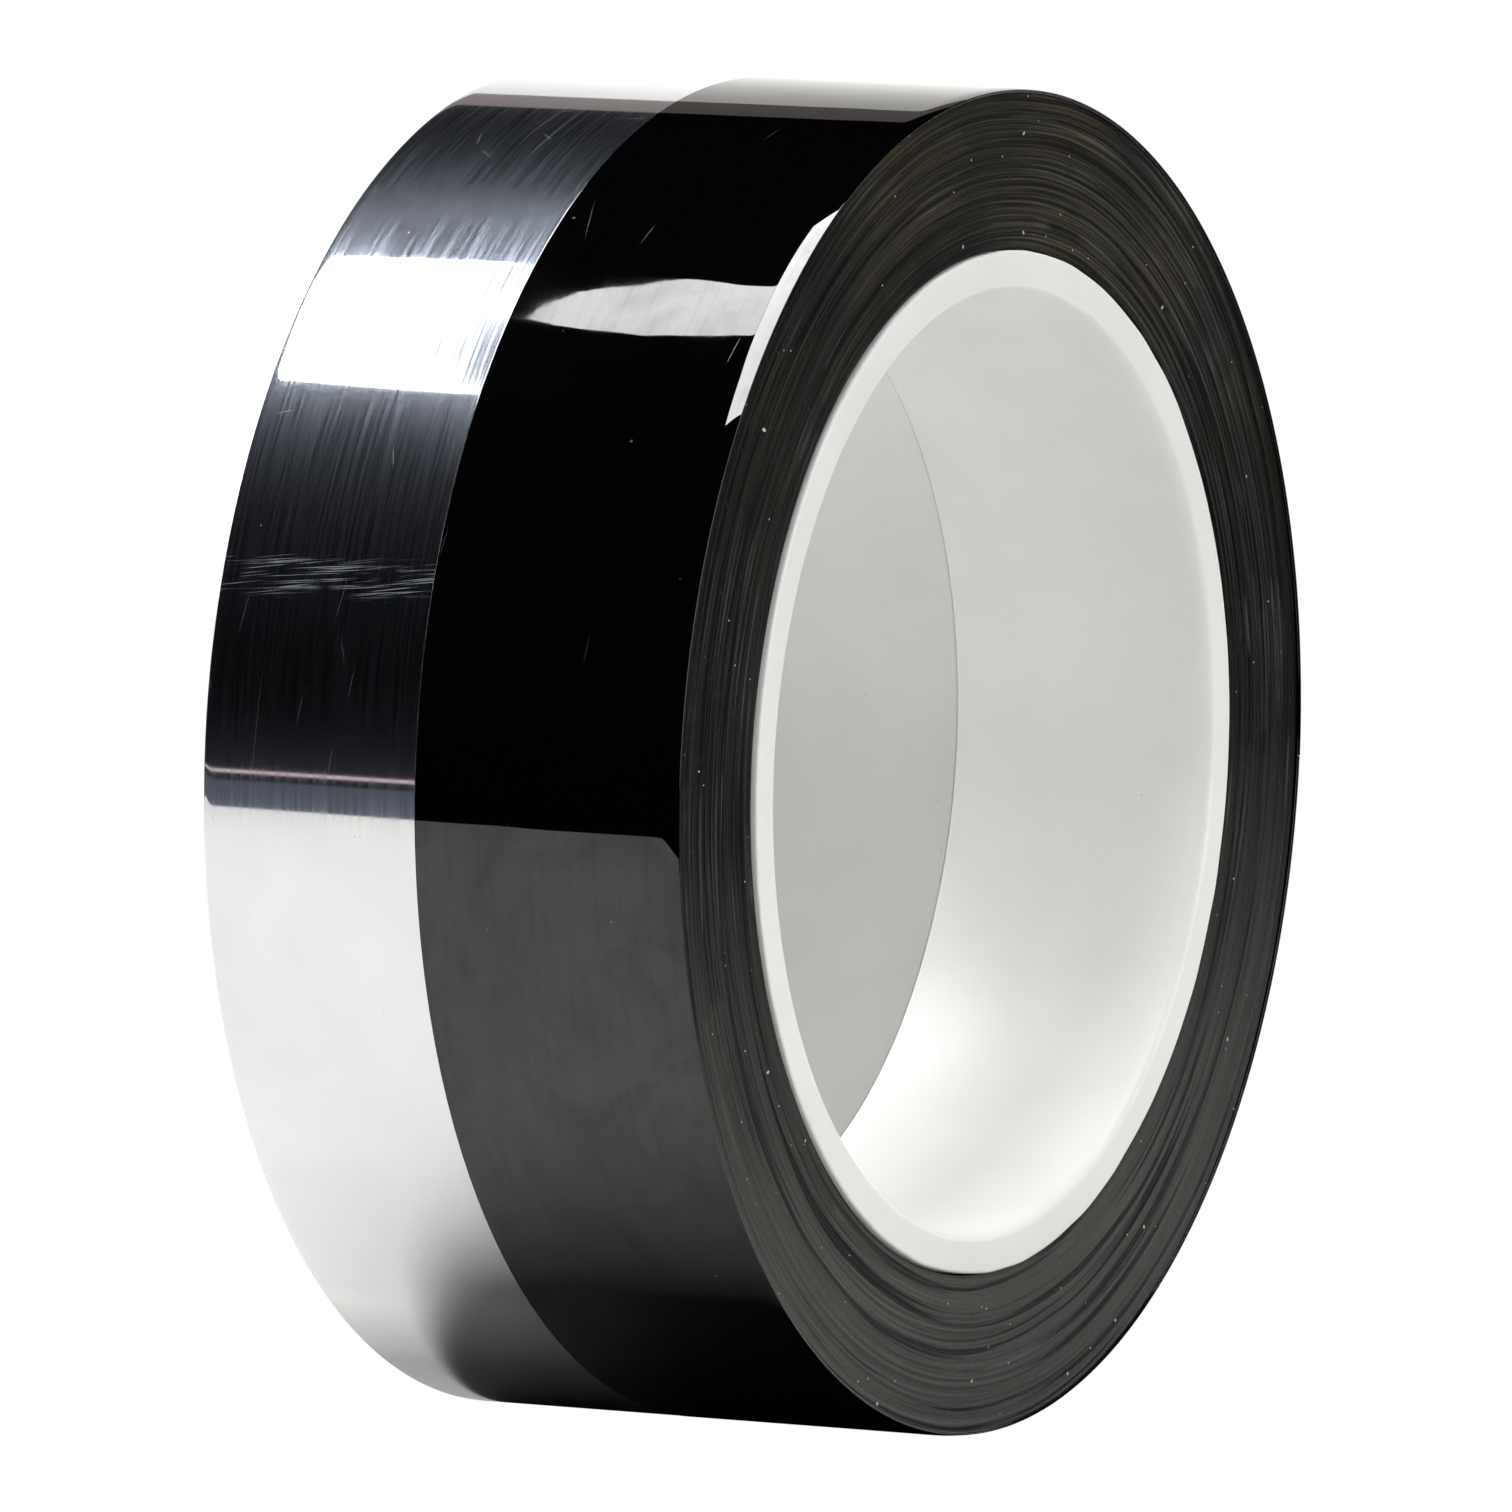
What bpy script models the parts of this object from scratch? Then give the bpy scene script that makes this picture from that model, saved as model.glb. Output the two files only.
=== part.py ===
"""Two rolls of glossy film tape standing face to face on their rims.

The shared axis of the rolls lies along Y, above the origin. The black roll is in
front (towards -Y) and the silver roll behind it (towards +Y). Each roll is a
tubular core, the tape wound on it, the outermost turn of film, and the free end
that peels away from that turn. Units below are millimetres until they are scaled.
"""

import math

import bmesh
import bpy

MM = 0.001

# Driving dimensions, in millimetres.
BORE_RADIUS = 38.1
CORE_WALL = 3.2
BLACK_RADIUS = 54.0
SILVER_RADIUS = 54.5
BLACK_WIDTH = 23.5
SILVER_WIDTH = 19.0
FACE_GAP = 0.3
FIT_GAP = 0.3
FILM_THICKNESS = 0.3
MOUTH_CHAMFER = (0.6, 1.5)
CORE_EDGE = 0.4
WINDING_EDGE = 0.25
TAIL_LENGTH = 28.0
TAIL_END_GAP = 1.0
TAIL_ROOT_GAP = 0.3

# Where each free end leaves its roll, in degrees up from +X.
SILVER_TAIL_ROOT = 48.0
BLACK_TAIL_ROOT = 24.0

# Every turned piece has this many flats, and one of them faces straight down.
SEGMENTS = 64
STEP = 2.0 * math.pi / SEGMENTS
BOTTOM_CORNER = -0.5 * math.pi + 0.5 * STEP

CORE_RADIUS = BORE_RADIUS + CORE_WALL
AXIS_HEIGHT = SILVER_RADIUS * math.cos(0.5 * STEP)
TOTAL_WIDTH = BLACK_WIDTH + FACE_GAP + SILVER_WIDTH
BLACK_FRONT = -0.5 * TOTAL_WIDTH
BLACK_BACK = BLACK_FRONT + BLACK_WIDTH
SILVER_FRONT = BLACK_BACK + FACE_GAP
SILVER_BACK = SILVER_FRONT + SILVER_WIDTH


def clear_scene():
    for item in list(bpy.data.objects):
        bpy.data.objects.remove(item, do_unlink=True)


def make_material(name, color, roughness, metallic):
    material = bpy.data.materials.new(name)
    material.use_nodes = True
    shader = material.node_tree.nodes["Principled BSDF"]
    shader.inputs["Base Color"].default_value = (*color, 1.0)
    shader.inputs["Roughness"].default_value = roughness
    shader.inputs["Metallic"].default_value = metallic
    return material


def add_outline(bm, outline, angle):
    """Adds a closed loop of (radius, y) points in the half-plane at an angle."""
    verts = []
    for radius, y in outline:
        point = (radius * math.cos(angle) * MM, y * MM, radius * math.sin(angle) * MM)
        verts.append(bm.verts.new(point))
    edges = []
    for index, vert in enumerate(verts):
        edges.append(bm.edges.new((vert, verts[(index + 1) % len(verts)])))
    return verts, edges


def finish_object(bm, name, material, location):
    bmesh.ops.recalc_face_normals(bm, faces=bm.faces)
    mesh = bpy.data.meshes.new(name)
    bm.to_mesh(mesh)
    bm.free()
    mesh.shade_smooth()
    mesh.set_sharp_from_angle(angle=math.radians(30.0))
    mesh.materials.append(material)
    item = bpy.data.objects.new(name, mesh)
    item.location = [value * MM for value in location]
    bpy.context.scene.collection.objects.link(item)
    return item


def turned_ring(name, outline, material):
    """A full ring turned about the roll axis, with its origin on that axis."""
    bm = bmesh.new()
    verts, edges = add_outline(bm, outline, BOTTOM_CORNER)
    bmesh.ops.spin(
        bm,
        geom=verts + edges,
        cent=(0.0, 0.0, 0.0),
        axis=(0.0, 1.0, 0.0),
        angle=2.0 * math.pi,
        steps=SEGMENTS,
        use_merge=True,
    )
    return finish_object(bm, name, material, (0.0, 0.0, AXIS_HEIGHT))


def strip_angles(top_angle, length_angle):
    """Angles along a strip: its two ends, and every corner of the flats between them."""
    end_angle = top_angle - length_angle
    steps_from_corner = math.ceil((top_angle - BOTTOM_CORNER) / STEP) - 1
    angle = BOTTOM_CORNER + steps_from_corner * STEP
    angles = [top_angle]
    while angle > end_angle + 0.1 * STEP:
        if angle < top_angle - 0.1 * STEP:
            angles.append(angle)
        angle -= STEP
    angles.append(end_angle)
    return angles


def strip_of_film(name, radius, front, back, top_angle, length_angle, material, hinge=None):
    """A curved strip that runs down from top_angle, clockwise as seen from the front."""
    inner = radius - FILM_THICKNESS
    outline = [(inner, front), (radius, front), (radius, back), (inner, back)]
    bm = bmesh.new()
    loops = [add_outline(bm, outline, angle) for angle in strip_angles(top_angle, length_angle)]
    for (_, edges), (_, next_edges) in zip(loops, loops[1:]):
        bmesh.ops.bridge_loops(bm, edges=edges + next_edges)
    for verts in (loops[0][0], loops[-1][0]):
        bm.faces.new(verts)
    location = (0.0, 0.0, AXIS_HEIGHT)
    if hinge is not None:
        bmesh.ops.translate(bm, verts=bm.verts, vec=(-hinge[0] * MM, 0.0, -hinge[1] * MM))
        location = (hinge[0], 0.0, AXIS_HEIGHT + hinge[1])
    return finish_object(bm, name, material, location)


def core_outline(front, back):
    """Tube wall with a deep easing at the mouth of the bore and a fine outer edge."""
    mouth_radial, mouth_deep = MOUTH_CHAMFER
    mouth = BORE_RADIUS + mouth_radial
    return [
        (BORE_RADIUS, front + mouth_deep),
        (mouth, front),
        (CORE_RADIUS - CORE_EDGE, front),
        (CORE_RADIUS, front + CORE_EDGE),
        (CORE_RADIUS, back - CORE_EDGE),
        (CORE_RADIUS - CORE_EDGE, back),
        (mouth, back),
        (BORE_RADIUS, back - mouth_deep),
    ]


def winding_outline(front, back, outer):
    """Flat-sided pack of turns with the outer corners barely eased."""
    inner = CORE_RADIUS + FIT_GAP
    return [
        (inner, front),
        (outer - WINDING_EDGE, front),
        (outer, front + WINDING_EDGE),
        (outer, back - WINDING_EDGE),
        (outer - WINDING_EDGE, back),
        (inner, back),
    ]


def build_roll(colour, radius, front, back, tail_root_deg, core_material, edge_material, film_material):
    turned_ring(f"{colour}_core", core_outline(front, back), core_material)
    pack_radius = radius - FILM_THICKNESS - FIT_GAP
    turned_ring(f"{colour}_wound_tape", winding_outline(front, back, pack_radius), edge_material)

    root = math.radians(tail_root_deg)
    tail_angle = TAIL_LENGTH / radius
    root_gap = TAIL_ROOT_GAP / radius
    end_gap = TAIL_END_GAP / radius
    turn_top = root - tail_angle - end_gap
    turn_angle = 2.0 * math.pi - tail_angle - end_gap - root_gap
    strip_of_film(f"{colour}_outer_turn", radius, front, back, turn_top, turn_angle, film_material)

    hinge_radius = radius - 0.5 * FILM_THICKNESS
    hinge = (hinge_radius * math.cos(root), hinge_radius * math.sin(root))
    strip_of_film(f"{colour}_free_end", radius, front, back, root, tail_angle, film_material, hinge)


def main():
    clear_scene()
    core_white = make_material("core_white", (0.86, 0.86, 0.84), 0.35, 0.0)
    black_edge = make_material("black_edge", (0.03, 0.029, 0.027), 0.5, 0.0)
    silver_edge = make_material("silver_edge", (0.07, 0.062, 0.055), 0.5, 0.0)
    black_film = make_material("black_film", (0.012, 0.012, 0.013), 0.1, 0.0)
    silver_film = make_material("silver_film", (0.86, 0.86, 0.85), 0.08, 1.0)
    build_roll(
        "black", BLACK_RADIUS, BLACK_FRONT, BLACK_BACK, BLACK_TAIL_ROOT,
        core_white, black_edge, black_film,
    )
    build_roll(
        "silver", SILVER_RADIUS, SILVER_FRONT, SILVER_BACK, SILVER_TAIL_ROOT,
        core_white, silver_edge, silver_film,
    )


main()
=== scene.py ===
"""Two rolls of film tape standing side by side on their rims: a black one in front and a silver one behind.

Each roll is a white moulded core, the wound tape, its two outermost turns and the free end. Lengths are in
metres. Angles run round the rolls' axis from +X towards +Z, so the camera's side is near 180 degrees.
"""
import math

import bmesh
import bpy
import numpy as np
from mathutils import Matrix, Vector


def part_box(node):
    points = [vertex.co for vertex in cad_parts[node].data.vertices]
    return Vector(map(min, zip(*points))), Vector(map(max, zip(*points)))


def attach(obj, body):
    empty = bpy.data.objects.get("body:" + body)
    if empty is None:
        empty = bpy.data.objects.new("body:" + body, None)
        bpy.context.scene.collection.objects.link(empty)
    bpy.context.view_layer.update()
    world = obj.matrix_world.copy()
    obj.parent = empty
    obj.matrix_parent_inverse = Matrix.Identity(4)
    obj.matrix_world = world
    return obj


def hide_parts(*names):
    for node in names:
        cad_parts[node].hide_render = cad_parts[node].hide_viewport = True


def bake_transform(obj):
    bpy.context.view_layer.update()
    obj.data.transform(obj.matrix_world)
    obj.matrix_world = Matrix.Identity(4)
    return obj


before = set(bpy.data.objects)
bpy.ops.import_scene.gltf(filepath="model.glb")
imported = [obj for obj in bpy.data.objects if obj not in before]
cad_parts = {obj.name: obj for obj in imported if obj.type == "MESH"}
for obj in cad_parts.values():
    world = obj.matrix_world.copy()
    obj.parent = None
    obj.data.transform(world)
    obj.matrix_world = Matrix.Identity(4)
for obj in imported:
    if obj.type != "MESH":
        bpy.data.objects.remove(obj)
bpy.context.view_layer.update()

MM = 0.001
AXIS_Z = (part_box("silver_core")[0].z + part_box("silver_core")[1].z) / 2

# The core
BORE_RADIUS = 38.1 * MM
CORE_RADIUS = 41.3 * MM
MOUTH_WIDTH = 0.6 * MM
MOUTH_DEPTH = 1.5 * MM
SEAM_EDGE = 0.12 * MM
SEAM_GAP = 0.02 * MM
CORE_EDGE = 0.25 * MM
CORE_BURR = 0.13 * MM

# The tape
WOUND_BORE = 41.46 * MM
FILM = 0.12 * MM
FILM_GAP = 0.02 * MM
SECOND_TURN_INSET = 0.1 * MM
RIM_ROUND = 0.05 * MM
SEAM_ROUND = 0.012 * MM
TAIL_LENGTH = 28 * MM
TAIL_END_GAP = 0.03 * MM
TAIL_LIFT = 0.06 * MM
TAIL_SLANT = 0.7 * MM

# A band of scuffs across the silver film, by its angle from the top towards the camera
RUB_ANGLE = math.radians(70.5)

# The radius, in millimetres, at which the materials measure the way round a roll
ROUND_RADIUS = 54.0

# How many stations round the axis each piece is built on
CORE_STATIONS = 480
WOUND_STATIONS = 560
TURN_STATIONS = 680
TAIL_STATIONS = 70

# The camera
CAMERA_AZIMUTH = math.radians(-61.9)
CAMERA_ELEVATION = math.radians(6.48)
CAMERA_DISTANCE = 1.8
CAMERA_LENS = 528.6
AIM_RIGHT = 1.19 * MM
AIM_DOWN = 0.70 * MM


class Roll:
    """The sizes of one roll, read from its CAD nodes, and how smooth its outer turn lies.

    step is how far its rim stays above the floor, and tail_root the angle of its free end's root, in degrees.
    wave and ripple are how uneven its film lies, and roll_off how wide and how deep its open rim is drawn in.
    """

    def __init__(self, colour, step, tail_root, exposed_side, seed, wave, ripple, roll_off):
        tape_low, tape_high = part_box(colour + "_wound_tape")
        self.colour = colour
        self.exposed_front = exposed_side == "front"
        self.radius = AXIS_Z - step
        self.front = tape_low.y if self.exposed_front else SEAM_Y + SEAM_GAP / 2
        self.back = SEAM_Y - SEAM_GAP / 2 if self.exposed_front else tape_high.y
        self.tail_root = math.radians(tail_root)
        self.tail_tip = self.tail_root - TAIL_LENGTH / self.radius
        self.seed = seed
        self.wave = wave
        self.ripple = ripple
        self.roll_off = roll_off


SEAM_Y = (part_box("black_wound_tape")[1].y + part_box("silver_wound_tape")[0].y) / 2
SILVER = Roll("silver", step=0.05 * MM, tail_root=48, exposed_side="back", seed=11,
              wave=0.003 * MM, ripple=0.0004 * MM, roll_off=(0.7 * MM, 0.03 * MM))
BLACK = Roll("black", step=0.03 * MM, tail_root=24, exposed_side="front", seed=23,
             wave=0.004 * MM, ripple=0.0026 * MM, roll_off=(1.5 * MM, 0.13 * MM))


# ---------------------------------------------------------------- shapes

def fade(t):
    return t * t * (3 - 2 * t)


def noise_sheet(seed, cells_round, cells_across, turn, across):
    """Smooth random heights from -1 to 1. turn wraps round at 1, and across runs from 0 to 1."""
    grid = np.random.default_rng(seed).uniform(-1, 1, (cells_round, cells_across + 2))
    u = (turn % 1.0) * cells_round
    v = np.clip(across, 0, 1) * cells_across
    i = np.floor(u).astype(int) % cells_round
    j = np.floor(v).astype(int)
    after = (i + 1) % cells_round
    s = fade(u - np.floor(u))
    t = fade(v - j)
    near = grid[i, j] * (1 - s) + grid[after, j] * s
    far = grid[i, j + 1] * (1 - s) + grid[after, j + 1] * s
    return near * (1 - t) + far * t


def bell(distance, width):
    return np.exp(-((distance / width) ** 2))


def skin(name, angle, radius, y, wraps):
    """A closed mesh over a grid of points, with a row for each station round the axis."""
    points = np.stack([radius * np.cos(angle), y, AXIS_Z + radius * np.sin(angle)], axis=-1)
    stations, count = radius.shape
    index = np.arange(stations * count).reshape(stations, count)
    here = index if wraps else index[:-1]
    there = np.roll(index, -1, axis=0) if wraps else index[1:]
    quads = np.stack([here, np.roll(here, -1, axis=1), np.roll(there, -1, axis=1), there], axis=-1)
    faces = quads.reshape(-1, 4).tolist()
    if not wraps:
        faces += [index[0][::-1].tolist(), index[-1].tolist()]
    mesh = bpy.data.meshes.new(name)
    mesh.from_pydata(points.reshape(-1, 3).tolist(), [], faces)
    shell = bmesh.new()
    shell.from_mesh(mesh)
    bmesh.ops.recalc_face_normals(shell, faces=shell.faces)
    for face in shell.faces:
        face.smooth = len(face.verts) == 4
    shell.to_mesh(mesh)
    shell.free()
    piece = bpy.data.objects.new(name, mesh)
    bpy.context.scene.collection.objects.link(piece)
    return piece


def arc(centre_radius, centre_y, across, along, start, end, steps=6):
    """Points (radius, y) on a quarter of an ellipse, from the start to the end angle in degrees."""
    turns = np.radians(np.linspace(start, end, steps))
    return [(centre_radius + across * math.cos(t), centre_y + along * math.sin(t)) for t in turns]


def profile_grid(profile, angles):
    """The profile's radii and Y places, repeated at each angle."""
    radius = np.array([p[0] for p in profile])
    y = np.array([p[1] for p in profile])
    angle = np.repeat(angles[:, None], len(profile), axis=1)
    return angle, np.repeat(radius[None, :], len(angles), axis=0), np.repeat(y[None, :], len(angles), axis=0)


def full_turn(stations):
    return np.linspace(0, 2 * math.pi, stations, endpoint=False)


def mouth(inner, face, width, depth, start):
    """A rounded edge between the bore and an end face. depth is negative at the back face."""
    return arc(inner + width, face + depth, width, abs(depth), start, start + 90, 10)


def make_core(roll):
    """A short moulded tube: a rounded mouth on the open side, a fine edge at the seam, rough outside."""
    front, back = roll.front, roll.back
    wide, deep = MOUTH_WIDTH, MOUTH_DEPTH
    fine = SEAM_EDGE
    edge = CORE_RADIUS - CORE_EDGE
    face_margin = 0.2 * MM
    wall_margin = 1 * MM
    bore_margin = 2.2 * MM
    burr_width = 0.6 * MM
    burr_inside = 0.1 * MM
    front_mouth = (wide, deep) if roll.exposed_front else (fine, fine)
    back_mouth = (fine, fine) if roll.exposed_front else (wide, deep)
    face_inner, face_outer = BORE_RADIUS + wide + face_margin, edge - face_margin
    profile = mouth(BORE_RADIUS, front, front_mouth[0], front_mouth[1], 180)
    profile += [(face_inner, front), (face_outer, front)]
    profile += arc(edge, front + CORE_EDGE, CORE_EDGE, CORE_EDGE, 270, 360)
    profile += [(CORE_RADIUS, front + wall_margin), (CORE_RADIUS, back - wall_margin)]
    profile += arc(edge, back - CORE_EDGE, CORE_EDGE, CORE_EDGE, 0, 90)
    profile += [(face_outer, back), (face_inner, back)]
    profile += mouth(BORE_RADIUS, back, back_mouth[0], -back_mouth[1], 90)
    profile += [(BORE_RADIUS, y) for y in (back - bore_margin, (front + back) / 2, front + bore_margin)]
    angle, radius, y = profile_grid(profile, full_turn(CORE_STATIONS))
    turn = angle / (2 * math.pi)
    coarse = noise_sheet(roll.seed, 26, 1, turn, 0 * turn)
    sharp = noise_sheet(roll.seed + 1, 90, 1, turn, 0 * turn)
    outside = (radius > edge - burr_inside) * bell(np.minimum(y - front, back - y), burr_width)
    radius = radius + CORE_BURR * (0.6 * coarse + 0.4 * sharp) * outside
    return skin(roll.colour + "_core_tube", angle, radius, y, True)


def ring_heights(roll, turn, share):
    """How far the wound edge stands out at each place: each turn sits a little in or out of the next."""
    seed = roll.seed * 10
    drift = share + 0.006 * noise_sheet(seed, 5, 1, turn, 0 * share)
    strength = 0.62 + 0.38 * noise_sheet(seed + 1, 7, 3, turn, share)
    broad = noise_sheet(seed + 2, 8, 20, turn, drift)
    middle = noise_sheet(seed + 3, 14, 44, turn, drift)
    fine = noise_sheet(seed + 4, 34, 95, turn, drift)
    steps = 0.16 * broad + 0.10 * middle + 0.035 * fine
    warp = 0.06 * noise_sheet(seed + 5, 6, 2, turn, share)
    return (steps * strength + warp) * MM


def make_wound(roll):
    """The wound tape: one side face with real rings, the other plain because the other roll covers it."""
    outer = roll.radius - 2 * (FILM + FILM_GAP)
    front, back = roll.front, roll.back
    rim = 0.05 * MM
    wall_margin = 1 * MM
    face_low = 0.32 * MM
    face_reach = 0.1 * MM
    groove_depth, groove_width = 0.25 * MM, 0.22 * MM
    exposed_front = roll.exposed_front
    ring_radii = np.linspace(WOUND_BORE + rim, outer - rim, 150)
    plain_radii = np.linspace(WOUND_BORE + rim, outer - rim, 6)
    front_radii = ring_radii if exposed_front else plain_radii
    back_radii = plain_radii if exposed_front else ring_radii
    profile = [(r, front) for r in front_radii]
    profile += arc(outer - rim, front + rim, rim, rim, 270, 360, 3)[1:]
    profile += [(outer, y) for y in np.linspace(front + wall_margin, back - wall_margin, 5)]
    profile += arc(outer - rim, back - rim, rim, rim, 0, 90, 3)[:-1]
    profile += [(r, back) for r in back_radii[::-1]]
    profile += [(WOUND_BORE, y) for y in (back - rim, back - wall_margin, front + wall_margin, front + rim)]
    angle, radius, y = profile_grid(profile, full_turn(WOUND_STATIONS))
    share = np.clip((radius - WOUND_BORE) / (outer - WOUND_BORE), 0, 1)
    turn = angle / (2 * math.pi)
    height = ring_heights(roll, turn, share)
    groove = groove_depth * bell(radius - WOUND_BORE, groove_width)
    edge_y = front if exposed_front else back
    inward = 1 if exposed_front else -1
    on_face = bell(y - edge_y, face_reach)
    y = y + inward * on_face * (face_low + groove - height)
    return skin(roll.colour + "_wound_edges", angle, radius, y, True)


def film_profile(roll, depth=0.0, inset=0.0):
    """The film's section: a finely spaced outer surface, the open rim rounded, the seam rim nearly square.

    depth is how far it lies below the outermost turn, and inset how much narrower it is at each rim.
    """
    outside, inside = roll.radius - depth, roll.radius - depth - FILM
    soft, square = RIM_ROUND, SEAM_ROUND
    front, back = (soft, square) if roll.exposed_front else (square, soft)
    low, high = roll.front + inset + front, roll.back - inset - back
    hold = 0.01 * MM
    crowding = 1.35
    share = np.linspace(-1, 1, 57)
    closer = np.sign(share) * (1 - (1 - np.abs(share)) ** crowding)
    across = (low + high) / 2 + closer * ((high - low) / 2 - hold)
    profile = [(outside, y) for y in across]
    profile += arc(outside - back, high, back, back, 0, 90, 5)
    profile += arc(inside + back, high, back, back, 90, 180, 5)
    profile += [(inside, y) for y in across[::-8]]
    profile += arc(inside + front, low, front, front, 180, 270, 5)
    profile += arc(outside - front, low, front, front, 270, 360, 5)
    return profile


def share_across(roll, y):
    return (y - roll.front) / (roll.back - roll.front)


def film_shift(roll, angle, y):
    """How far a turn of film stands away from a true cylinder: rim drawn in, long waves, small ripples."""
    turn = angle / (2 * math.pi)
    across = share_across(roll, y)
    width, depth = roll.roll_off
    from_rim = y - roll.front if roll.exposed_front else roll.back - y
    rim_curve = 2.4
    rim = -depth * np.clip(1 - from_rim / width, 0, 1) ** rim_curve
    waves = roll.wave * noise_sheet(roll.seed + 3, 24, 1, turn, across)
    ripples = roll.ripple * noise_sheet(roll.seed + 4, 120, 6, turn, across) * (1 - 0.6 * across)
    return rim + waves + ripples


def cut_angle(roll, y):
    """The angle at which the free end is cut, a little out of square and a little ragged."""
    across = share_across(roll, y)
    ragged = 0.05 * MM * noise_sheet(roll.seed + 7, 4, 12, 0 * across, across)
    return roll.tail_tip - (TAIL_SLANT * (across - 0.5) + ragged) / roll.radius


def make_second_turn(roll):
    """The turn below the outermost one, seen where the free end is lifted."""
    profile = film_profile(roll, FILM + FILM_GAP, SECOND_TURN_INSET)
    angle, radius, y = profile_grid(profile, full_turn(TURN_STATIONS))
    return skin(roll.colour + "_second_turn", angle, radius + film_shift(roll, angle, y), y, True)


def open_run(stations):
    """Stations from 0 to 1 with a short step at each end, so that the shading stays smooth up to the ends."""
    step = 0.05 / stations
    return np.concatenate([[0], np.linspace(step, 1 - step, stations), [1]])


def make_outer_turn(roll):
    """The outermost turn, from the root of the free end right round to just short of its cut end."""
    share, radius, y = profile_grid(film_profile(roll), open_run(TURN_STATIONS))
    end = cut_angle(roll, y) - TAIL_END_GAP / roll.radius + 2 * math.pi
    angle = roll.tail_root + (end - roll.tail_root) * share
    return skin(roll.colour + "_outer_film", angle, radius + film_shift(roll, angle, y), y, False)


def make_tail(roll):
    """The free end: it lies on the roll and lifts a little towards its cut end."""
    share, radius, y = profile_grid(film_profile(roll), open_run(TAIL_STATIONS))
    angle = roll.tail_root + (cut_angle(roll, y) - roll.tail_root) * share
    lift = TAIL_LIFT * np.clip((share - 0.7) / 0.3, 0, 1) ** 2
    return skin(roll.colour + "_tail_film", angle, radius + film_shift(roll, angle, y) + lift, y, False)


# ---------------------------------------------------------------- materials

class Finish:
    """A procedural material in the making. Lengths are in millimetres where nothing else is said."""

    def __init__(self, name):
        self.material = bpy.data.materials.new(name)
        self.material.use_nodes = True
        self.tree = self.material.node_tree
        self.tree.nodes.clear()
        self.output = self.tree.nodes.new("ShaderNodeOutputMaterial")

    def put(self, socket, value):
        if isinstance(value, bpy.types.NodeSocket):
            self.tree.links.new(value, socket)
        elif isinstance(value, (tuple, list)) and len(value) == 3 and socket.type == "RGBA":
            socket.default_value = (*value, 1)
        else:
            socket.default_value = value

    def node(self, kind, output=0, inputs=None, **settings):
        made = self.tree.nodes.new(kind)
        for key, value in settings.items():
            setattr(made, key, value)
        for key, value in (inputs or {}).items():
            self.put(made.inputs[key], value)
        return made.outputs[output]

    def math(self, operation, a, b=0.0, clamp=False):
        return self.node("ShaderNodeMath", inputs={0: a, 1: b}, operation=operation, use_clamp=clamp)

    def vector(self, x=0.0, y=0.0, z=0.0):
        return self.node("ShaderNodeCombineXYZ", inputs={0: x, 1: y, 2: z})

    def noise(self, place, scale=1.0, detail=2.0, distortion=0.0, roughness=0.5):
        inputs = {"Vector": place, "Scale": scale, "Detail": detail, "Distortion": distortion,
                  "Roughness": roughness}
        return self.node("ShaderNodeTexNoise", inputs=inputs)

    def spread(self, value, low, high, out_low=0.0, out_high=1.0):
        """value from low..high carried to out_low..out_high, and held at the ends."""
        inputs = {"Value": value, 1: low, 2: high, 3: out_low, 4: out_high}
        return self.node("ShaderNodeMapRange", inputs=inputs, clamp=True)

    def blend(self, share, a, b):
        made = self.tree.nodes.new("ShaderNodeMix")
        made.data_type = "RGBA"
        self.put(made.inputs[0], share)
        self.put(made.inputs[6], a)
        self.put(made.inputs[7], b)
        return made.outputs[2]

    def axes(self):
        """Sockets for x, y and z on the object, in metres."""
        split = self.tree.nodes.new("ShaderNodeSeparateXYZ")
        self.put(split.inputs[0], self.node("ShaderNodeTexCoord", output=3))
        return split.outputs[0], split.outputs[1], split.outputs[2]

    def rings(self):
        """Sockets, in millimetres: the way round the roll from its top, across it, and out from the axis."""
        side, along, up = self.axes()
        x = self.math("MULTIPLY", side, 1000)
        y = self.math("MULTIPLY", along, 1000)
        z = self.math("MULTIPLY", self.math("SUBTRACT", up, AXIS_Z), 1000)
        squares = self.math("ADD", self.math("MULTIPLY", x, x), self.math("MULTIPLY", z, z))
        radius = self.math("SQRT", squares)
        around = self.math("MULTIPLY", self.math("ARCTAN2", x, z), ROUND_RADIUS)
        return around, y, radius

    def place(self):
        """The place on the object, in millimetres."""
        place = self.node("ShaderNodeTexCoord", output=3)
        return self.node("ShaderNodeVectorMath", inputs={0: place, 3: 1000}, operation="SCALE")

    def scratches(self, around, across, tilt, gap, length, width):
        """Fine separate lines: 1 on a line and 0 off it. tilt is from the way round the roll, in degrees."""
        flat = self.vector(around, across)
        turned = self.node("ShaderNodeVectorRotate", inputs={"Vector": flat, "Angle": math.radians(tilt)},
                           rotation_type="Z_AXIS")
        squeeze = self.node("ShaderNodeVectorMath", inputs={0: turned, 1: (width / length / gap, 1 / gap, 1)},
                            operation="MULTIPLY")
        inputs = {"Vector": squeeze, "Scale": 1.0, "Randomness": 1.0}
        distance = self.node("ShaderNodeTexVoronoi", inputs=inputs, voronoi_dimensions="2D")
        return self.spread(distance, 0.25 * width / gap, 0.5 * width / gap, 1.0, 0.0)

    def specks(self, place, gap, size):
        """Small separate dots, such as dust."""
        inputs = {"Vector": place, "Scale": 1 / gap, "Randomness": 1.0}
        distance = self.node("ShaderNodeTexVoronoi", inputs=inputs)
        return self.spread(distance, 0.3 * size / gap, 0.5 * size / gap, 1.0, 0.0)

    def bump(self, height, distance, strength):
        """A normal bent by the height. distance is how deep it goes, in metres."""
        inputs = {"Height": height, "Distance": distance, "Strength": strength}
        return self.node("ShaderNodeBump", inputs=inputs)

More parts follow.
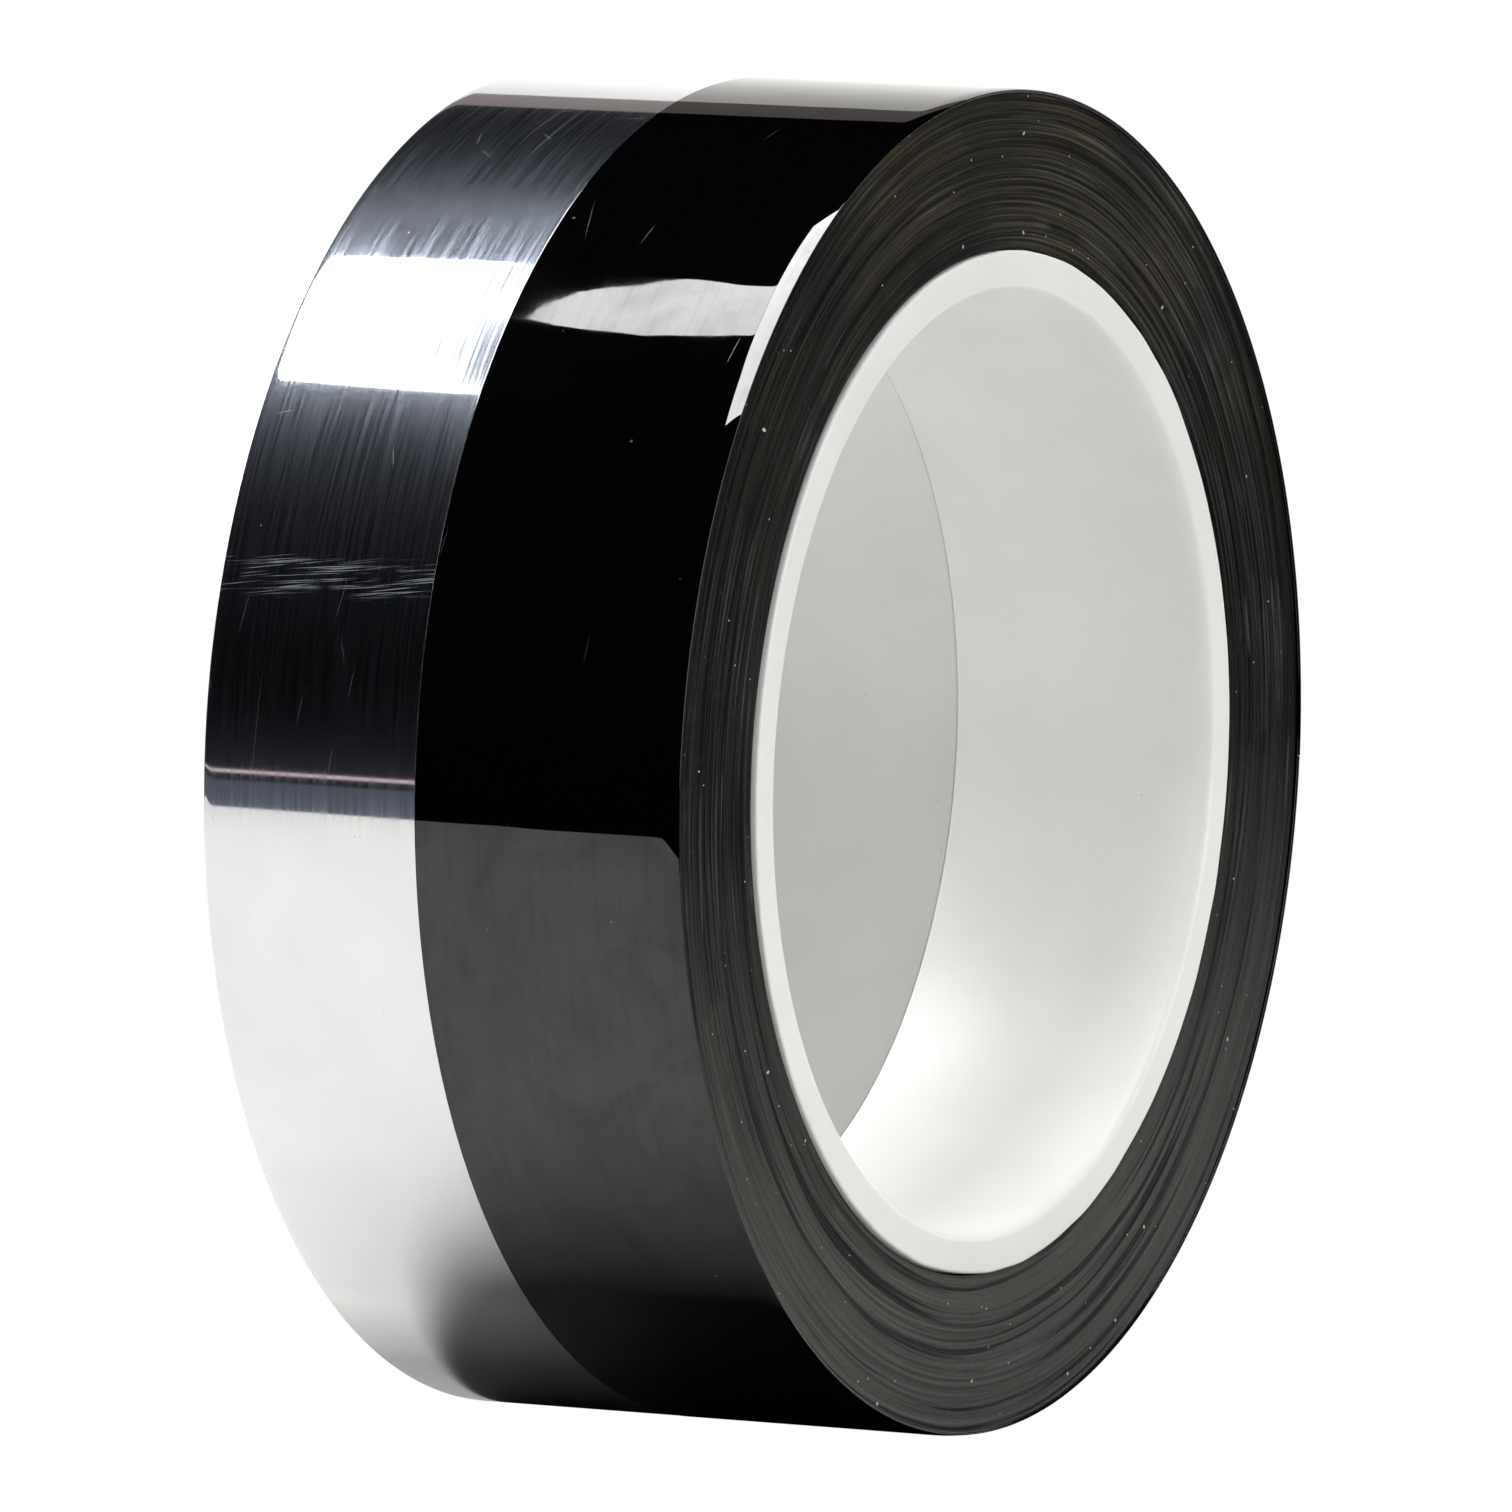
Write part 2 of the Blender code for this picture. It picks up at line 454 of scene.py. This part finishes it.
    def surface(self, **values):
        shader = self.tree.nodes.new("ShaderNodeBsdfPrincipled")
        for key, value in values.items():
            self.put(shader.inputs[key.replace("_", " ")], value)
        return shader.outputs[0]

    def finish(self, shader):
        self.put(self.output.inputs[0], shader)
        return self.material


def white_plastic():
    """Semi-gloss moulded white plastic, with faint flow marks round the bore."""
    f = Finish("core_white_plastic")
    around, across, radius = f.rings()
    place = f.place()
    cloud = f.noise(place, 0.09, 3)
    flow = f.vector(f.math("MULTIPLY", around, 0.05), f.math("MULTIPLY", across, 2.5), radius)
    marks = f.noise(flow, 1.0, 2)
    colour = f.blend(f.spread(cloud, 0.35, 0.65), (0.89, 0.895, 0.88), (0.925, 0.93, 0.915))
    dust = f.specks(place, 5.5, 0.22)
    colour = f.blend(f.math("MULTIPLY", dust, 0.35), colour, (0.35, 0.34, 0.32))
    grain = f.noise(place, 4.0, 3)
    height = f.math("ADD", f.math("MULTIPLY", marks, 0.6), f.math("MULTIPLY", grain, 0.4))
    shader = f.surface(Base_Color=colour, Roughness=f.spread(grain, 0.3, 0.7, 0.30, 0.42), IOR=1.5,
                       Normal=f.bump(height, 0.00003, 0.5))
    return f.finish(shader)


def wound_edges(name, dark, light, warm, painted_glint, lower_colour):
    """The cut edges of many turns: ringed and dusty, with painted highlights on some rings and painted glints
    in the grit, warmer in patches at the top and greyer lower down.
    """
    f = Finish(name)
    around, _, radius = f.rings()
    place = f.place()
    wander = f.math("MULTIPLY", f.noise(place, 0.045, 2), 0.9)
    ring_place = f.math("ADD", radius, wander)
    turn = f.math("DIVIDE", around, ROUND_RADIUS)
    aside, above = f.math("SINE", turn), f.math("COSINE", turn)

    def ring_noise(stretch, tightness, detail):
        reach = stretch * ROUND_RADIUS
        ring = f.vector(f.math("MULTIPLY", aside, reach), f.math("MULTIPLY", ring_place, tightness),
                        f.math("MULTIPLY", above, reach))
        return f.noise(ring, 1.0, detail)

    thin = ring_noise(0.035, 5.5, 3)
    wide = ring_noise(0.020, 1.3, 2)
    bright = ring_noise(0.045, 3.0, 1)
    cloud = f.noise(place, 0.07, 3)
    patch = f.noise(place, 0.16, 2)
    grit = f.noise(place, 3.2, 3, roughness=0.65)
    height_place = f.math("MULTIPLY", above, radius)
    # Towards the bottom of the face the colour blends, in patches, to a greyer one.
    lower_share = f.spread(height_place, -40, -2, 1.0, 0.0)
    warmth = f.math("MULTIPLY", f.spread(cloud, 0.42, 0.60), f.spread(height_place, 14, 46))
    colour = f.blend(f.spread(thin, 0.42, 0.64), dark, f.blend(warmth, light, warm))
    colour = f.blend(f.math("MULTIPLY", lower_share, f.spread(grit, 0.35, 0.65, 0.75, 1.0)), colour, lower_colour)
    colour = f.blend(f.spread(wide, 0.40, 0.47, 0.75, 0.0), colour, dark)
    # Painted highlights: bright thin rings, in patches, stand in for light caught by the ridges.
    painted_ring_highlight = f.math("MULTIPLY", f.spread(bright, 0.58, 0.68), f.spread(patch, 0.42, 0.62))
    colour = f.blend(f.math("MULTIPLY", painted_ring_highlight, 0.35), colour, painted_glint)
    # Painted glints: the brightest grit specks are lightened towards the highlight colour.
    colour = f.blend(f.spread(grit, 0.62, 0.80, 0.0, 0.5), colour, painted_glint)
    dust = f.math("MAXIMUM", f.specks(f.vector(around, radius), 4.6, 0.40), f.specks(place, 2.0, 0.20))
    colour = f.blend(f.math("MULTIPLY", dust, 0.9), colour, (0.62, 0.62, 0.60))
    height = f.math("ADD", f.math("MULTIPLY", thin, 0.8), f.math("MULTIPLY", grit, 0.2))
    shader = f.surface(Base_Color=colour, Roughness=f.spread(grit, 0.3, 0.7, 0.34, 0.50), IOR=1.13,
                       Normal=f.bump(height, 0.00010, 1.0))
    return f.finish(shader)


def black_film():
    """Glossy black film: fine scratches round the roll, dust, and smudges that dull and darken the gloss."""
    f = Finish("black_film_gloss")
    around, across, _ = f.rings()
    place = f.vector(around, across)
    cloud = f.noise(place, 0.13, 5, distortion=1.2, roughness=0.6)
    streak = f.noise(f.vector(f.math("MULTIPLY", around, 0.10), f.math("MULTIPLY", across, 1.7)), 1.0, 4)
    lines = f.math("MAXIMUM", f.scratches(around, across, 7, 2.6, 3.0, 0.07),
                   f.scratches(around, across, -15, 3.2, 6.0, 0.06))
    dust = f.specks(place, 5.2, 0.30)
    base = f.blend(f.math("MULTIPLY", lines, 0.5), (0.0006, 0.0006, 0.0008), (0.05, 0.055, 0.06))
    base = f.blend(f.math("MULTIPLY", dust, 0.7), base, (0.12, 0.115, 0.11))
    rough = f.math("ADD", f.spread(cloud, 0.4, 0.7, 0.012, 0.022), f.math("MULTIPLY", lines, 0.22))
    height = f.noise(place, 0.5, 2)
    normal = f.bump(height, 0.000001, 0.3)
    gloss = f.surface(Base_Color=base, Roughness=rough, IOR=1.66, Normal=normal)
    smudged = f.surface(Base_Color=base, Roughness=0.024, IOR=1.52, Normal=normal)
    share = f.math("ADD", f.spread(cloud, 0.44, 0.66, 0.0, 0.60), f.spread(streak, 0.5, 0.72, 0.0, 0.35),
                   clamp=True)
    both = f.node("ShaderNodeMixShader", inputs={0: share, 1: gloss, 2: smudged})
    return f.finish(both)


def silver_film():
    """Metallised film: a sharp mirror under a haze of fine rubbing, with scratches that catch the light."""
    f = Finish("silver_film_mirror")
    around, across, _ = f.rings()
    place = f.vector(around, across)
    brush = f.noise(f.vector(f.math("MULTIPLY", around, 0.10), f.math("MULTIPLY", across, 4.0)), 1.0, 4)
    cloud = f.noise(place, 0.11, 3, distortion=0.5)
    lines = f.scratches(around, across, 9, 1.5, 4.0, 0.045)
    more = ((-16, 1.6, 2.4, 0.05), (3, 1.0, 16, 0.04), (74, 2.4, 2, 0.05), (-52, 2.6, 2, 0.05))
    for tilt, gap, length, width in more:
        lines = f.math("MAXIMUM", lines, f.scratches(around, across, tilt, gap, length, width))
    rub_centre = -RUB_ANGLE * ROUND_RADIUS
    in_rub = f.spread(f.math("ABSOLUTE", f.math("SUBTRACT", around, rub_centre)), 0.9, 1.9, 1.0, 0.0)
    rub = f.math("MAXIMUM", f.scratches(around, across, 85, 0.17, 9.0, 0.08),
                 f.scratches(around, across, 82, 0.21, 5.0, 0.09))
    along_rub = f.vector(f.math("MULTIPLY", around, 0.8), f.math("MULTIPLY", across, 0.22))
    patchy = f.spread(f.noise(along_rub, 1.0, 2), 0.38, 0.6)
    rub = f.math("MULTIPLY", f.math("MULTIPLY", rub, in_rub), patchy)
    dust = f.specks(place, 3.4, 0.24)
    tint = f.blend(f.spread(cloud, 0.4, 0.7), (0.77, 0.77, 0.775), (0.81, 0.81, 0.80))
    rough = f.spread(brush, 0.35, 0.7, 0.03, 0.06)
    normal = f.bump(cloud, 0.000002, 0.3)
    mirror = f.surface(Base_Color=tint, Metallic=1.0, Roughness=rough, Normal=normal)
    haze = f.surface(Base_Color=(0.70, 0.77, 0.92), Metallic=1.0, Roughness=0.23, Normal=normal)
    scuff = f.surface(Base_Color=(0.80, 0.84, 0.92), Metallic=1.0, Roughness=0.46, Normal=normal)
    share = f.math("ADD", f.spread(brush, 0.35, 0.75, 0.08, 0.26), f.spread(cloud, 0.4, 0.75, 0.0, 0.015))
    both = f.node("ShaderNodeMixShader", inputs={0: share, 1: mirror, 2: haze})
    marks = f.math("ADD", f.math("MULTIPLY", lines, 0.24), f.math("MULTIPLY", dust, 0.4), clamp=True)
    marks = f.math("MAXIMUM", marks, f.math("MULTIPLY", rub, 0.45))
    worn = f.node("ShaderNodeMixShader", inputs={0: marks, 1: both, 2: scuff})
    return f.finish(worn)


# ---------------------------------------------------------------- stage, light and camera

# What a light falls on. ROLLS is both rolls. LIT_ROLLS leaves out the silver roll's core, which is in shade.
# IN_LIGHT is LIT_ROLLS and the sheet. SILVER_PIECES is the silver roll alone.
ROLLS = bpy.data.collections.new("rolls")
LIT_ROLLS = bpy.data.collections.new("rolls_but_for_the_shaded_core")
IN_LIGHT = bpy.data.collections.new("in_light")
SILVER_PIECES = bpy.data.collections.new("silver_pieces")


def glow(name, colour, strength):
    f = Finish(name)
    return f.finish(f.node("ShaderNodeEmission", inputs={"Color": colour, "Strength": strength}))


def card(name, corners, material, seen_by_camera):
    """A flat stage card. Either only the camera sees it, or only the light and the reflections do."""
    mesh = bpy.data.meshes.new(name)
    mesh.from_pydata([tuple(c) for c in corners], [], [tuple(range(len(corners)))])
    mesh.materials.append(material)
    made = bpy.data.objects.new(name, mesh)
    bpy.context.scene.collection.objects.link(made)
    made.visible_camera = seen_by_camera
    made.visible_diffuse = not seen_by_camera
    made.visible_glossy = not seen_by_camera
    made.visible_transmission = not seen_by_camera
    made.visible_shadow = not seen_by_camera
    return made


def towards_camera(distance, aside, height):
    """A point so far from the axis towards the camera, so far to the right in its view, at that height."""
    back = Vector((math.sin(CAMERA_AZIMUTH), -math.cos(CAMERA_AZIMUTH), 0))
    right = Vector((math.cos(CAMERA_AZIMUTH), math.sin(CAMERA_AZIMUTH), 0))
    return back * distance + right * aside + Vector((0, 0, height))


def strip(name, near, far, low, high, left, right, material):
    """A stage card square to the camera's line: flat if near and far differ, upright if low and high do."""
    corners = [towards_camera(near, left, low), towards_camera(near, right, low),
               towards_camera(far, right, high), towards_camera(far, left, high)]
    return card(name, corners, material, False)


def wall_glow():
    """White that fades a little from the floor up."""
    f = Finish("backdrop_white")
    fade_low, fade_high = 0.25, 0.42
    _, _, height = f.axes()
    strength = f.spread(height, fade_low, fade_high, 1.35, 1.0)
    return f.finish(f.node("ShaderNodeEmission", inputs={"Color": (1.0, 0.985, 0.955), "Strength": strength}))


def sheet_with_painted_shadow():
    """Matte white with a painted contact shadow: darker close to the line where the rolls touch it."""
    f = Finish("sheet_with_painted_shadow")
    painted_shadow_reach, painted_shadow_end = 0.019, 0.030
    side, _, _ = f.axes()
    away = f.spread(f.math("ABSOLUTE", side), painted_shadow_reach, painted_shadow_end)
    # The darker colour is a painted contact shadow, deepest near the line where the rolls touch the sheet.
    colour = f.blend(away, (0.320, 0.315, 0.305), (0.655, 0.645, 0.625))
    return f.finish(f.node("ShaderNodeBsdfDiffuse", inputs={"Color": colour}))


def make_stage():
    """A white sheet under the rolls with a white backdrop behind, and a grey table in front of the sheet.

    The table and the bright line beyond it show only in the silver roll, as in the photo.
    """
    reach = 6.0
    left, right = -0.55, 0.27
    wall_right = 1.2
    table_half = 1.4
    line_left = -2.2
    line_low, line_high = 0.001, 0.015
    sheet_edge, table_edge, line_place = 0.275, 0.62, 0.95
    wall = -0.75
    wall_top, wall_rim = 0.455, 0.55
    rim_grey = glow("backdrop_grey", (0.24, 0.21, 0.20), 1.0)
    table_grey = glow("table_grey", (0.060, 0.070, 0.095), 1.0)
    line_light = glow("far_edge_light", (0.8, 0.66, 0.70), 1.0)
    seen = [(-reach, -reach, 0), (reach, -reach, 0), (reach, reach, 0), (-reach, reach, 0)]
    card("floor", seen, glow("floor_white", (1, 1, 1), 1.0), True)
    sheet = strip("sheet", wall, sheet_edge, 0, 0, left, right, sheet_with_painted_shadow())
    IN_LIGHT.objects.link(sheet)
    strip("backdrop", wall, wall, 0, wall_top, left, wall_right, wall_glow())
    strip("backdrop_rim", wall, wall, wall_top, wall_rim, left, wall_right, rim_grey)
    table = strip("table", sheet_edge, table_edge, 0, 0, -table_half, table_half, table_grey)
    line = strip("far_edge", line_place, line_place, line_low, line_high, line_left, 0, line_light)
    for seen_in_silver in (table, line):
        seen_in_silver.light_linking.receiver_collection = SILVER_PIECES


def overhead(name, outline, height, strength):
    """A light panel lying flat above the rolls. outline holds its corners as seen from above."""
    corners = [(x, y, height) for x, y in outline]
    return card(name, corners, glow(name + "_light", (1, 1, 1), strength), False)


def make_lights():
    """A large soft panel above and in front, a small and a wide one in line behind it, and two weak fills.

    The outlines put the panels' reflections where the photo shows them. All but the back fill leave out the
    silver roll's core, which stays in shade, and the fills light only the rolls.
    """
    height = 1.0
    main = [(-0.52, -0.15), (0.25, -0.15), (0.25, 0.440), (-0.52, 0.440)]
    small = [(0.010, 0.442), (0.010, 0.465), (0.023, 0.474), (-0.045, 0.487), (-0.150, 0.4975),
             (-0.168, 0.495), (-0.191, 0.484), (-0.170, 0.469), (-0.170, 0.442)]
    wide = [(-0.43, 0.548), (-0.165, 0.513), (0.055, 0.501), (-0.012, 0.62), (-0.36, 0.62)]
    panels = (("main_panel", main, 12), ("small_panel", small, 9), ("wide_panel", wide, 12))
    for name, outline, strength in panels:
        panel = overhead(name, outline, height, strength)
        panel.light_linking.receiver_collection = IN_LIGHT
    front = [(-1.3, -1.2, 0.02), (0.9, -1.2, 0.02), (0.9, -1.2, 1.1), (-1.3, -1.2, 1.1)]
    back = [(-0.6, 1.2, 0.3), (0.6, 1.2, 0.3), (0.6, 1.2, 1.3), (-0.6, 1.2, 1.3)]
    fills = (("front_fill", front, 2.1, LIT_ROLLS), ("back_fill", back, 4.5, ROLLS))
    for name, corners, strength, lit in fills:
        fill = card(name, corners, glow(name + "_light", (1, 1, 1), strength), False)
        fill.light_linking.receiver_collection = lit


def make_world():
    world = bpy.data.worlds.new("plain_surroundings")
    world.use_nodes = True
    world.node_tree.nodes["Background"].inputs["Color"].default_value = (1, 1, 1, 1)
    for ray in ("diffuse", "glossy", "transmission", "scatter"):
        setattr(world.cycles_visibility, ray, False)
    bpy.context.scene.world = world
    bpy.context.scene.view_settings.view_transform = "Standard"


def make_camera():
    azimuth, elevation = CAMERA_AZIMUTH, CAMERA_ELEVATION
    right = Vector((math.cos(azimuth), math.sin(azimuth), 0))
    back = Vector((math.sin(azimuth) * math.cos(elevation), -math.cos(azimuth) * math.cos(elevation),
                   math.sin(elevation)))
    up = back.cross(right)
    aim = Vector((0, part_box("black_wound_tape")[1].y, AXIS_Z)) + right * AIM_RIGHT - up * AIM_DOWN
    data = bpy.data.cameras.new("camera")
    data.sensor_width = 36
    data.lens = CAMERA_LENS
    data.clip_start = 0.1
    data.clip_end = 20
    camera = bpy.data.objects.new("camera", data)
    camera.location = aim + back * CAMERA_DISTANCE
    camera.rotation_mode = "QUATERNION"
    camera.rotation_quaternion = (-back).to_track_quat("-Z", "Y")
    bpy.context.scene.collection.objects.link(camera)
    bpy.context.scene.camera = camera


# ---------------------------------------------------------------- the rolls

def dress(piece, material, body, node):
    """Gives a piece its material, lights, slot and the body it rides on, and hides the CAD node it stands
    for.
    """
    piece.data.materials.append(material)
    ROLLS.objects.link(piece)
    if node != "silver_core":
        LIT_ROLLS.objects.link(piece)
        IN_LIGHT.objects.link(piece)
    if node.startswith("silver"):
        SILVER_PIECES.objects.link(piece)
    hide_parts(node)
    if body is not None:
        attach(piece, body)


def make_roll(roll, core, edges, film):
    colour = roll.colour
    body, tail_body = colour + "_roll", colour + "_tail"
    dress(make_core(roll), core, body, colour + "_core")
    dress(make_wound(roll), edges, body, colour + "_wound_tape")
    dress(make_second_turn(roll), film, body, colour + "_wound_tape")
    dress(make_outer_turn(roll), film, body, colour + "_outer_turn")
    tail = make_tail(roll)
    dress(tail, film, None, colour + "_free_end")
    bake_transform(tail)


make_world()
make_camera()
make_stage()
make_lights()
plastic = white_plastic()
black_edges = wound_edges("black_wound_edges", dark=(0.0014, 0.0014, 0.0012), light=(0.018, 0.0175, 0.0155),
                          warm=(0.052, 0.045, 0.024), painted_glint=(0.125, 0.125, 0.117),
                          lower_colour=(0.078, 0.079, 0.074))
silver_edges = wound_edges("silver_wound_edges", dark=(0.030, 0.026, 0.023), light=(0.14, 0.125, 0.112),
                           warm=(0.16, 0.125, 0.085), painted_glint=(0.32, 0.31, 0.29),
                           lower_colour=(0.12, 0.115, 0.105))
make_roll(SILVER, plastic, silver_edges, silver_film())
make_roll(BLACK, plastic, black_edges, black_film())
